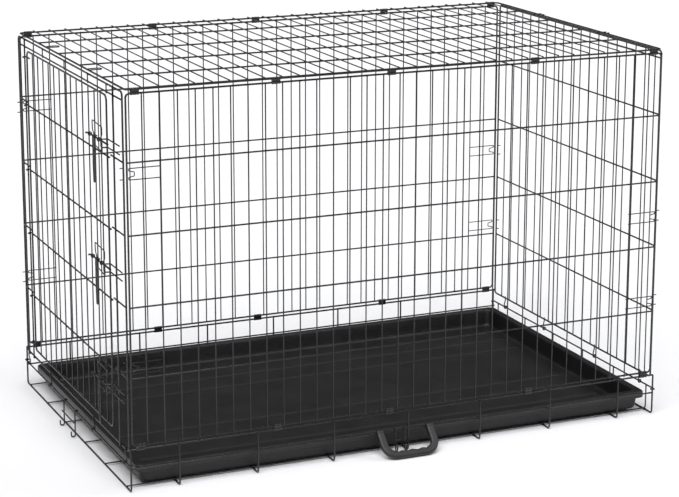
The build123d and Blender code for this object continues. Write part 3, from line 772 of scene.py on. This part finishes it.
class CRATE_OT_door_end(bpy.types.Operator):
    """Builds the end that holds the door, with the keepers of its bolts."""

    bl_idname = "crate.door_end"
    bl_label = "Door end"

    def execute(self, context):
        colours = context.scene.crate_colours
        grid = grid_finish(colours)
        rail = frame_finish(colours)
        piece("door_end_frame_coated",
              [loop(end_wall(-END_X), END_HALF_Y, END_LOW_Z, END_TOP_Z, FRAME_R, FRAME_BEND)],
              "door_end", ["door_end_frame"], rail)
        low = END_LOW_Z - FRAME_R
        high = END_TOP_Z + FRAME_R
        edges = [LATCH_EDGE_Y, DOOR_HINGE_Y]
        piece("door_end_edge_uprights_coated",
              [rods([(HINGE_X, y, low) for y in edges], (0, 0, 1), high - low, RAIL_R, 14)],
              "door_end", ["door_end_edge_uprights"], rail)
        x_up = -(END_X + UPRIGHT_OUT)
        stub_z = END_TOP_BAR_Z - RAIL_R
        stubs = [(x_up, y, stub_z) for y in STUB_Y]
        piece("door_end_uprights_coated",
              [rods([(x_up, BACK_UPRIGHT_Y, low)], (0, 0, 1), high - low, UPRIGHT_R, 10),
               rods(stubs, (0, 0, 1), high - stub_z, UPRIGHT_R, 10)],
              "door_end", ["door_end_uprights"], grid)
        x_bar = -(END_X + BAR_OUT)
        reach = END_HALF_Y - FRAME_R - GAP
        levels = [END_LOW_Z] + CROSSBAR_Z + [END_TOP_BAR_Z, END_TOP_Z]
        welds = crossings([x_bar - RAIL_R], edges + [BACK_UPRIGHT_Y], levels)
        piece("door_end_crossbars_coated",
              [rods([(x_bar, -reach, z) for z in CROSSBAR_Z], (0, 1, 0), reach + OPENING_Y[0], RAIL_R, 14),
               rods([(x_bar, OPENING_Y[1], z) for z in CROSSBAR_Z], (0, 1, 0), reach - OPENING_Y[1],
                    RAIL_R, 14),
               rods([(x_bar, -reach, END_TOP_BAR_Z)], (0, 1, 0), 2 * reach, RAIL_R, 14),
               nuggets(welds, (0.8, 1.9, 1.9))],
              "door_end", ["door_end_crossbars"], grid)
        piece("door_end_hinge_eyes_coated", end_eyes(-1, DOOR_EYE_Y),
              "door_end", ["door_end_hinge_eyes"], grid)
        piece("door_end_catches_coated", [catch_tips(-1)], "door_end", ["door_end_catches"],
              spring_finish(colours))
        keepers = []
        for z in LATCHES.values():
            eye_x, eye_y = KEEPER_X - 13.0, -296.0
            points = [(KEEPER_X, -END_HALF_Y, z + 8.5), (KEEPER_X, eye_y, z + 8.5),
                      (eye_x, eye_y + 3.0, z + 8.5), (eye_x, eye_y + 3.0, z - 8.5),
                      (KEEPER_X, eye_y, z - 8.5), (KEEPER_X, -END_HALF_Y, z - 8.5)]
            keepers.append(tube(rounded(points, 3.5), 1.5, 12))
        piece("door_end_keepers_coated", keepers, "door_end", ["door_end_keepers"],
              latch_finish(colours))
        return {"FINISHED"}


# ---- door and latches -------------------------------------------------------------------------
class CRATE_OT_door(bpy.types.Operator):
    """Builds the door, with the guides of its bolts."""

    bl_idname = "crate.door"
    bl_label = "Door"

    def execute(self, context):
        colours = context.scene.crate_colours
        weld = context.scene.crate_sizes.weld
        grid = grid_finish(colours)
        mid_y = (DOOR_BACK_Y + DOOR_LATCH_Y) / 2
        half_w = (DOOR_BACK_Y - DOOR_LATCH_Y) / 2
        centre = np.array([DOOR_FRAME_X, mid_y, 0.0])
        piece("door_frame_coated",
              [loop(lambda u, v: centre + (0.0, u, v), half_w, DOOR_LOW_Z, DOOR_TOP_Z, FRAME_R, DOOR_BEND)],
              "door", ["door_frame"], frame_finish(colours))
        ys = np.linspace(DOOR_LATCH_Y, DOOR_BACK_Y, DOOR_BAYS + 1)[1:-1]
        low = DOOR_LOW_Z + FRAME_R + GAP
        height = DOOR_TOP_Z - FRAME_R - GAP - low
        spots = crossings([DOOR_UPRIGHT_X + UPRIGHT_R], ys, DOOR_BAR_Z)
        ends = crossings([DOOR_UPRIGHT_X], ys, [low, low + height])
        piece("door_uprights_coated",
              [rods([(DOOR_UPRIGHT_X, y, low) for y in ys], (0, 0, 1), height, UPRIGHT_R, 10),
               nuggets(spots, (0.8, weld * UPRIGHT_R, weld * UPRIGHT_R)),
               nuggets(ends, (1.5, 1.5, 0.8))],
              "door", ["door_uprights"], grid)
        axis = (1, 0, 0), (0, -1, 0)
        long_lead = [(LOOP_REACH, DOOR_HINGE_Y - DOOR_LATCH_Y + FRAME_R)]
        short_lead = [(LOOP_REACH, DOOR_HINGE_Y - DOOR_BACK_Y + 6.0)]
        bars = [tube(curled((HINGE_X, DOOR_HINGE_Y, z), *axis, LOOP_REACH, long_lead), RAIL_R)
                for z in DOOR_BAR_Z]
        hooks = [tube(curled((HINGE_X, DOOR_HINGE_Y, z), *axis, LOOP_REACH, short_lead), RAIL_R)
                 for z in (DOOR_LOW_Z + 14.0, DOOR_TOP_Z - 16.0)]
        edge = crossings([DOOR_BAR_X - RAIL_R], [DOOR_LATCH_Y, DOOR_BACK_Y], DOOR_BAR_Z)
        piece("door_crossbars_coated", bars + [nuggets(edge, (0.8, 2.2, 2.0))], "door", ["door_crossbars"],
              grid)
        piece("door_hinge_hooks_coated", hooks, "door", ["door_hinge_hooks"], grid)
        guides, eyes = [], []
        y0, y1 = GUIDE_EYE_Y
        for z in LATCHES.values():
            outline = [(y0 - 1.0, 24.0), (y1 + 3.0, 28.0), (y1 + 1.0, 9.0), (y1 - 8.0, 0.0), (y1 + 1.0, -9.0),
                       (y1 + 3.0, -19.0), (y0 - 1.0, -27.0), (y0 - 1.0, -9.0), (y0 + 8.0, 0.0),
                       (y0 - 1.0, 9.0)]
            guides.append(tube(rounded([(GUIDE_X, y, z + dz) for y, dz in outline], 3.0, closed=True),
                               GUIDE_R, 12, closed=True))
            for y in GUIDE_EYE_Y:
                ring = arc((BOLT_X, y, z), (1, 0, 0), (0, 0, 1), GUIDE_EYE_REACH, 0.0, 345.0, 23)
                eyes.append(tube(ring, GUIDE_R, 12, closed=True))
        piece("latch_guides_coated", guides, "door", ["latch_guides"], latch_finish(colours))
        piece("latch_guide_eyes_coated", eyes, "door", ["latch_guide_eyes"],
              latch_finish(colours))
        return {"FINISHED"}


class CRATE_OT_latches(bpy.types.Operator):
    """Builds the three slide bolts and the wire paddles that hang from them."""

    bl_idname = "crate.latches"
    bl_label = "Slide-bolt latches"

    def execute(self, context):
        finish = latch_finish(context.scene.crate_colours)
        curl = 3.4
        radius = 1.5
        reach = BOLT_R + 0.3 + radius
        for name, z in LATCHES.items():
            line = curled((BOLT_X - curl, BOLT_TAIL_Y, z), (1, 0, 0), (0, -1, 0), curl,
                          [(curl, BOLT_TAIL_Y - BOLT_TIP_Y)], 120.0)
            piece(f"latch_bolt_{name}_coated", [tube(line, BOLT_R, 16)], f"bolt_{name}",
                  [f"latch_bolt_{name}"], finish)
            x, bottom = BOLT_X - reach, z - PADDLE_LENGTH
            outline = [(-PADDLE_HALF, z), (-PADDLE_HALF, z - 60.0), (-2.6, bottom),
                       (2.6, bottom), (PADDLE_HALF, z - 60.0), (PADDLE_HALF, z)]
            grip = rounded([(x, PADDLE_Y + dy, height) for dy, height in outline], [20.0, 2.4, 2.4, 20.0])
            over = [arc((BOLT_X, y, z), (1, 0, 0), (0, 0, 1), reach, PADDLE_OPEN, 180.0)
                    for y in (PADDLE_Y - PADDLE_HALF, PADDLE_Y + PADDLE_HALF)]
            path = np.concatenate([over[0][:-1], grip, over[1][::-1][1:]])
            piece(f"latch_paddle_{name}_coated", [tube(path, radius, 12)], f"paddle_{name}",
                  [f"latch_paddle_{name}"], finish)
        return {"FINISHED"}


# ---- pan --------------------------------------------------------------------------------------
def stations(half, radius, spots):
    """Grid lines of a rounded rectangle's side as pairs (a, b): a line lies at a (half - r) + b r.

    The corners' own lines have b from 0 to 1, and the straight part's lines gather at the spots.
    """
    straight = half - radius
    even = np.linspace(-1, 1, 25)
    beside = np.array([0.0, 2.5, 4.4, 5.6, 6.8, 8.0, 10.0])
    near = np.array([s + d for s in spots for d in np.concatenate([-beside, beside])])
    lines = np.unique(np.round(np.concatenate([even, near / straight]), 6))
    inner = lines[np.abs(lines) <= 1.0]
    corner = np.linspace(0, 1, 9)[1:]
    a = np.concatenate([-np.ones_like(corner), inner, np.ones_like(corner)])
    b = np.concatenate([-corner[::-1], np.zeros(len(inner)), corner])
    return a, b


def sheet_grid(lines_x, lines_y, half_x, half_y, radius):
    """A grid that fills a rounded rectangle.

    In the corners the unit square (a, b) is pressed into a quarter disc, as
    (a sqrt(1 - b^2 / 2), b sqrt(1 - a^2 / 2)), so that the last lines follow the corner's arc.
    """
    ax, bx = lines_x[0][:, None], lines_x[1][:, None]
    ay, by = lines_y[0][None], lines_y[1][None]
    x = ax * (half_x - radius) + bx * np.sqrt(1 - by ** 2 / 2) * radius
    y = ay * (half_y - radius) + by * np.sqrt(1 - bx ** 2 / 2) * radius
    return x, y


def rim_of(grid):
    """The grid's outer points in order round its edge."""
    return np.concatenate([grid[:-1, 0], grid[-1, :-1], grid[:0:-1, -1], grid[0, :0:-1]])


def pan_shell(groove):
    """The moulded pan.

    Its wall is a profile of (distance in from the rim's edge, height) carried round the rounded
    rectangle. Its floor and underside are grids that share the wall's last points. A groove at
    y0 lowers the floor by g exp(-((y - y0) / w)^4), and fades out near its ends.
    """
    mid_x = (PAN_X[0] + PAN_X[1]) / 2
    half_x = (PAN_X[1] - PAN_X[0]) / 2
    profile = np.array([
        (31.0, PAN_FLOOR_Z), (28.0, PAN_FLOOR_Z + 0.4), (25.8, 10.8), (24.4, 13.6), (23.6, 18.0),
        (21.6, 32.0), (19.8, 44.5), (19.0, 47.6), (17.6, 49.3), (15.4, 50.0), (10.0, 49.8), (5.0, 49.9),
        (2.8, 49.6),
        (1.1, 48.5), (0.3, 46.6), (0.05, 42.0), (0.0, 36.4), (0.4, 35.3), (1.2, 35.0), (2.0, 35.4),
        (2.3, 37.0), (2.4, 43.0), (3.2, 46.4), (5.2, 47.6), (7.6, 47.4), (9.0, 45.6), (9.6, 40.0),
        (11.6, 24.0), (13.4, 12.4), (14.4, 9.4), (16.2, 7.6), (19.0, PAN_UNDER_Z)])
    lines_x = stations(half_x - 31.0, PAN_CORNER_R, [-545.0, 545.0])
    lines_y = stations(PAN_HALF_Y - 31.0, PAN_CORNER_R, PAN_GROOVE_Y)

    def level(inset):
        return sheet_grid(lines_x, lines_y, half_x - inset, PAN_HALF_Y - inset, PAN_CORNER_R)

    rings = []
    for inset, z in profile:
        x, y = level(inset)
        edge_x = rim_of(x)
        rings.append(np.stack([edge_x + mid_x, rim_of(y), np.full_like(edge_x, z)], -1))
    verts, faces = banded(np.array(rings))
    wall_shell = (verts, faces[:1])
    sheets = []
    for inset, z, top in ((31.0, PAN_FLOOR_Z, True), (19.0, PAN_UNDER_Z, False)):
        x, y = level(inset)
        dip = np.zeros_like(x)
        if top:
            fade = np.clip((PAN_GROOVE_END - np.abs(x)) / 7.0, 0, 1)
            for y0 in PAN_GROOVE_Y:
                dip = np.maximum(dip, groove * fade * np.exp(-((y - y0) / PAN_GROOVE_HALF) ** 4))
        points = np.stack([x + mid_x, y, z - dip], -1)
        index = np.arange(x.size).reshape(x.shape)
        quads = np.stack([index[:-1, :-1], index[1:, :-1], index[1:, 1:], index[:-1, 1:]], -1)
        sheets.append((points.reshape(-1, 3), [quads.reshape(-1, 4)]))
    return [wall_shell] + sheets


def sealed(obj):
    """Merges the points that pieces of a surface share and turns every face outwards."""
    work = bmesh.new()
    work.from_mesh(obj.data)
    bmesh.ops.remove_doubles(work, verts=work.verts, dist=1e-6)
    bmesh.ops.recalc_face_normals(work, faces=work.faces)
    if any(len(edge.link_faces) != 2 for edge in work.edges):
        raise ValueError(f"{obj.name} is not closed")
    work.to_mesh(obj.data)
    work.free()
    obj.data.shade_smooth()
    obj.data.set_sharp_from_angle(angle=math.radians(50.0))


class CRATE_OT_pan(bpy.types.Operator):
    """Builds the moulded pan with its rolled rim and grooved floor."""

    bl_idname = "crate.pan"
    bl_label = "Pan"

    def execute(self, context):
        colours = context.scene.crate_colours
        sizes = context.scene.crate_sizes
        finish = moulded("Grained black polypropylene", colours.pan, linear("1E1D20"), 0.36,
                         1000 * sizes.grain, 0.8)
        pan = piece("pan_moulded", pan_shell(1000 * sizes.groove), "pan", ["pan"], finish)
        # each point's depth in a groove, from 0 to 1, kept as the groove attribute, from which the pan's
        # material paints shade into the grooves and makes them matt
        spots = np.empty(3 * len(pan.data.vertices), np.float32)
        pan.data.vertices.foreach_get("co", spots)
        sunk = (PAN_FLOOR_Z / 1000 - spots[2::3]) / max(sizes.groove, 1e-6)
        sunk = np.where(np.abs(spots[1::3] - ORIGIN[1] / 1000) < 0.3, np.clip(sunk, 0, 1), 0)
        depth = pan.data.attributes.new("groove", "FLOAT", "POINT")
        depth.data.foreach_set("value", sunk.astype(np.float32))
        sealed(pan)
        return {"FINISHED"}


# ---- hooks and handle -------------------------------------------------------------------------
class CRATE_OT_hooks(bpy.types.Operator):
    """Builds the pan stop and the fold lock: pairs of hanging hooks, each joined by a link."""

    bl_idname = "crate.hooks"
    bl_label = "Pan stop and fold lock"

    def execute(self, context):
        finish = latch_finish(context.scene.crate_colours)
        reach = RAIL_R + EYE_GAP + STOP_R
        x = -END_RAIL_X - reach
        hooks = []
        for y in STOP_Y:
            over = arc((-END_RAIL_X, y, END_RAIL_Z), (-1, 0, 0), (0, 0, 1), reach, 180.0, 0.0)
            leg = rounded([(x, y, END_RAIL_Z), (x, y, 2.4), (x - 9.0, y, 2.4), (x - 9.0, y, 14.0)], 4.0)
            hooks.append(tube(np.concatenate([over[:-1], leg]), STOP_R, 12))
        link_x = x - 2 * STOP_R - GAP
        piece("pan_stop_hooks_coated", hooks, "pan_stop", ["pan_stop_hooks"], finish)
        piece("pan_stop_link_coated", [rods([(link_x, STOP_Y[0] - 4.0, 34.0)], (0, 1, 0), 90.0, STOP_R)],
              "pan_stop", ["pan_stop_link"], finish)
        y = -LOWER_RAIL_Y - reach
        hooks = []
        for x in LOCK_X:
            over = arc((x, -LOWER_RAIL_Y, LOWER_RAIL_Z), (0, -1, 0), (0, 0, 1), reach, 180.0, 0.0)
            leg = rounded([(x, y, LOWER_RAIL_Z), (x, y, 4.0), (x, y - 9.0, 4.0), (x, y - 9.0, 16.0)], 4.0)
            hooks.append(tube(np.concatenate([over[:-1], leg]), STOP_R, 12))
        link_y = y - 2 * STOP_R - GAP
        piece("fold_lock_hooks_coated", hooks, "fold_lock", ["fold_lock_hooks"], finish)
        piece("fold_lock_link_coated", [rods([(LOCK_X[0] - 3.0, link_y, 30.0)], (1, 0, 0), 27.0, STOP_R)],
              "fold_lock", ["fold_lock_link"], finish)
        return {"FINISHED"}


def handle_shell(wave):
    """The grip: a rounded bar carried along a U, with finger waves on its inner side.

    Across the bar, a superellipse |cos a|^0.6, |sin a|^0.6 gives flat faces with soft edges. On the
    grip's straight part the inner half width is less by w (1 - cos(2 pi x / pitch)) / 2.
    """
    points = [(-HANDLE_HALF, 0, 0.0), (-HANDLE_HALF, 0, -HANDLE_REACH), (HANDLE_HALF, 0, -HANDLE_REACH),
              (HANDLE_HALF, 0, 0.0)]
    corner = rounded(points, HANDLE_BEND, steps=12)
    run = np.linspace(HANDLE_BEND - HANDLE_HALF, HANDLE_HALF - HANDLE_BEND, 49)[1:-1]
    middle = np.stack([run, np.zeros_like(run), np.full_like(run, -HANDLE_REACH)], -1)
    path = np.concatenate([corner[:14], middle, corner[14:]])
    tangents = unit(np.gradient(path, axis=0))
    across = np.stack([-tangents[:, 2], np.zeros(len(path)), tangents[:, 0]], -1)
    a = np.linspace(0, 2 * np.pi, 32, endpoint=False)
    wide = np.sign(np.cos(a)) * np.abs(np.cos(a)) ** 0.6
    thick = np.sign(np.sin(a)) * np.abs(np.sin(a)) ** 0.6
    dent = wave * (1 - np.cos(2 * np.pi * path[:, 0] / FINGER_PITCH)) / 2
    inner = np.where(np.abs(path[:, 0]) < 37.0, dent, 0.0)
    half_w = GRIP_HALF_W - np.where(wide > 0, 1.0, 0.0)[None] * inner[:, None]
    rings = path[:, None] + across[:, None] * (half_w * wide)[..., None]
    rings[..., 1] += GRIP_HALF_T * thick
    return banded(rings)


class CRATE_OT_handle(bpy.types.Operator):
    """Builds the moulded carry handle, swung out to where it rests on the ground."""

    bl_idname = "crate.handle"
    bl_label = "Carry handle"

    def execute(self, context):
        colours = context.scene.crate_colours
        finish = moulded("Moulded charcoal nylon", colours.handle, linear("272628"), 0.4, 2.4, 0.25)
        hubs = [tube([(x - 8.0, 0, 0), (x + 8.0, 0, 0)], 6.5, 24) for x in (-HANDLE_HALF, HANDLE_HALF)]
        c, s = math.cos(HANDLE_TILT), math.sin(HANDLE_TILT)
        shells = []
        for verts, faces in [handle_shell(1000 * context.scene.crate_sizes.finger)] + hubs:
            y = c * verts[:, 1] + s * verts[:, 2]
            z = -s * verts[:, 1] + c * verts[:, 2]
            shells.append((np.stack([verts[:, 0], y - LOWER_RAIL_Y, z + LOWER_RAIL_Z], -1), faces))
        piece("carry_handle_moulded", shells, "carry_handle", ["carry_handle"], finish)
        return {"FINISHED"}


# ---- stage ------------------------------------------------------------------------------------
def surround():
    """The studio: white walls that the eye sees, which the crate itself catches as a dim room with
    a brighter ceiling."""
    world = bpy.data.worlds.new("Studio surround")
    world.use_nodes = True
    tree = world.node_tree
    tree.nodes.clear()
    ray = add(tree, "ShaderNodeLightPath", {}, {})
    way = add(tree, "ShaderNodeTexCoord", {}, {})
    height = add(tree, "ShaderNodeSeparateXYZ", {}, {"Vector": way.outputs["Generated"]}).outputs["Z"]
    glow = add(tree, "ShaderNodeMapRange",
               {"From Min": 0.2, "From Max": 0.9, "To Min": 0.03, "To Max": 0.6},
               {"Value": height}).outputs["Result"]
    room = add(tree, "ShaderNodeBackground", {}, {"Strength": glow})
    wall = add(tree, "ShaderNodeBackground", {"Color": (*linear("FFFFFF"), 1.0), "Strength": 1.0}, {})
    shades = {"Fac": ray.outputs["Is Camera Ray"], 1: room.outputs["Background"],
              2: wall.outputs["Background"]}
    both = add(tree, "ShaderNodeMixShader", {}, shades)
    add(tree, "ShaderNodeOutputWorld", {}, {"Surface": both.outputs["Shader"]})
    return world


class CRATE_OT_stage(bpy.types.Operator):
    """Sets up a pale floor, soft studio light and the camera."""

    bl_idname = "crate.stage"
    bl_label = "Studio"

    def execute(self, context):
        scene = context.scene
        mesh = bpy.data.meshes.new("studio_floor")
        size = 30.0
        mesh.from_pydata([(-size, -size, 0), (size, -size, 0), (size, size, 0), (-size, size, 0)], [],
                         [(0, 1, 2, 3)])
        mesh.materials.append(studio_paper("Seamless white paper", scene.crate_colours.floor))
        floor = bpy.data.objects.new("studio_floor", mesh)
        scene.collection.objects.link(floor)
        scene.world = surround()
        scene.view_settings.view_transform = "Standard"
        for name, turn, spread, strength in (("overhead_light", (24.0, -18.0, 0.0), 50.0, 2.6),
                                             ("side_light", (52.0, 0.0, 75.0), 30.0, 0.7)):
            light = bpy.data.lights.new(name, "SUN")
            light.angle = math.radians(spread)
            light.energy = strength
            lamp = bpy.data.objects.new(name, light)
            lamp.rotation_euler = [math.radians(t) for t in turn]
            scene.collection.objects.link(lamp)
        camera = bpy.data.cameras.new("camera")
        camera.lens = 114.2191
        camera.sensor_width = 36.0
        camera.shift_y = -0.1
        camera.clip_end = 100.0
        eye = bpy.data.objects.new("camera", camera)
        heading, down, roll = (math.radians(t) for t in (-23.74, 90 - 12.981, 0.1))
        turn = (Matrix.Rotation(heading, 4, "Z") @ Matrix.Rotation(down, 4, "X")
                @ Matrix.Rotation(roll, 4, "Z"))
        where = (np.array([-1872.0, -4288.9, 1588.1]) + ORIGIN) / 1000.0
        eye.matrix_world = Matrix.Translation(Vector(where)) @ turn
        scene.collection.objects.link(eye)
        scene.camera = eye
        return {"FINISHED"}


class CRATE_PT_panel(bpy.types.Panel):
    """Lists the pieces and their settings."""

    bl_idname = "CRATE_PT_panel"
    bl_label = "Wire dog crate"
    bl_space_type = "VIEW_3D"
    bl_region_type = "UI"
    bl_category = "Crate"

    def draw(self, context):
        column = self.layout.column(align=True)
        for group in (context.scene.crate_sizes, context.scene.crate_colours):
            for key in group.bl_rna.properties.keys():
                if key not in ("rna_type", "name"):
                    column.prop(group, key)
        for operator in OPERATORS:
            column.operator(operator.bl_idname)


OPERATORS = (CRATE_OT_base, CRATE_OT_front_side, CRATE_OT_back_side, CRATE_OT_roof, CRATE_OT_far_end,
             CRATE_OT_door_end, CRATE_OT_door, CRATE_OT_latches, CRATE_OT_pan, CRATE_OT_hooks,
             CRATE_OT_handle, CRATE_OT_stage)
CLASSES = (CrateSizes, CrateColours, CRATE_PT_panel) + OPERATORS


def register():
    """Registers the classes and their settings."""
    for cls in CLASSES:
        bpy.utils.register_class(cls)
    bpy.types.Scene.crate_sizes = bpy.props.PointerProperty(type=CrateSizes)
    bpy.types.Scene.crate_colours = bpy.props.PointerProperty(type=CrateColours)


def unregister():
    """Removes the settings and the classes."""
    del bpy.types.Scene.crate_colours
    del bpy.types.Scene.crate_sizes
    for cls in reversed(CLASSES):
        bpy.utils.unregister_class(cls)


def main():
    """Builds everything in order."""
    register()
    for operator in OPERATORS:
        group, action = operator.bl_idname.split(".")
        getattr(getattr(bpy.ops, group), action)()


if __name__ == "__main__":
    main()
